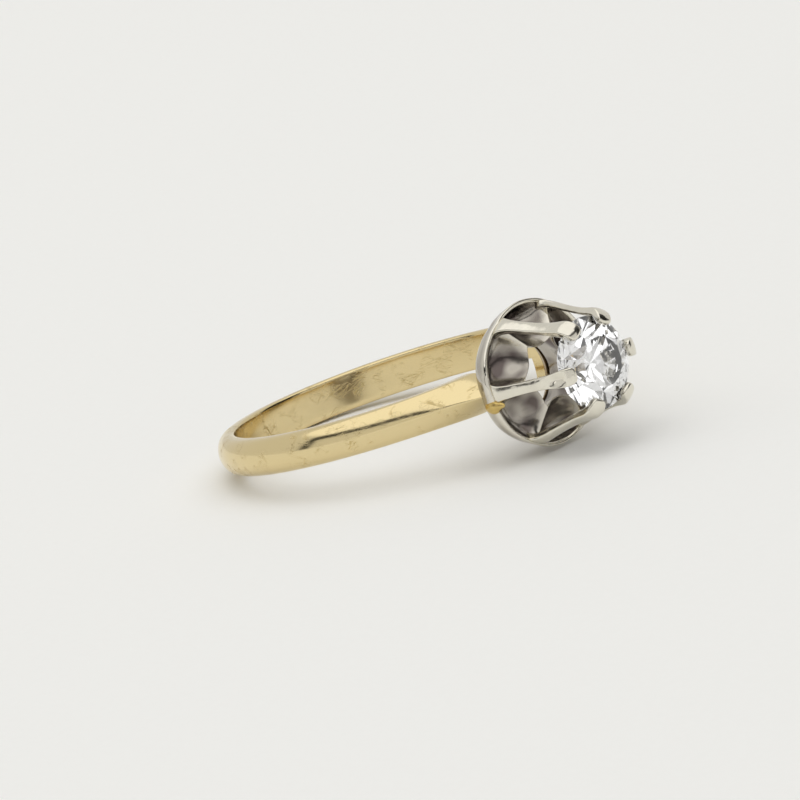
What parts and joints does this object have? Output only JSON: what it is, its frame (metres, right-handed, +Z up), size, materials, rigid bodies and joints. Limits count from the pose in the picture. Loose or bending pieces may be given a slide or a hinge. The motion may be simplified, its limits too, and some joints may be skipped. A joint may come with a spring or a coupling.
{
  "type": "engagement ring",
  "caption": "Solitaire finger ring: yellow gold shank, scooped white gold flower head and a claw-held round brilliant stone.",
  "frame": {"origin": "on the surface that the ring lies on, under the middle of its plan outline", "axes": "+Z up, with the ring lying on its side; +X from the palm of the shank towards the stone; +Y towards the far shoulder. The finger hole's axis leans from +Z by the angle at which the ring rests on the palm of its shank and on the edge of its head."},
  "size_m": [0.0252, 0.019, 0.0078],
  "materials": {
    "yellow_gold": "polished, finely scratched",
    "white_gold": "polished, worn",
    "gold_solder": "satin",
    "diamond": "polished facets"
  },
  "bodies": {
    "root": {"shank": "yellow_gold", "base_collet": "yellow_gold", "buttercup_gallery": "white_gold", "claw_1": "white_gold", "claw_2": "white_gold", "claw_3": "white_gold", "claw_4": "white_gold", "claw_5": "white_gold", "claw_6": "white_gold", "diamond": "diamond", "solder_near": "gold_solder", "solder_far": "gold_solder"}
  },
  "joints": []
}
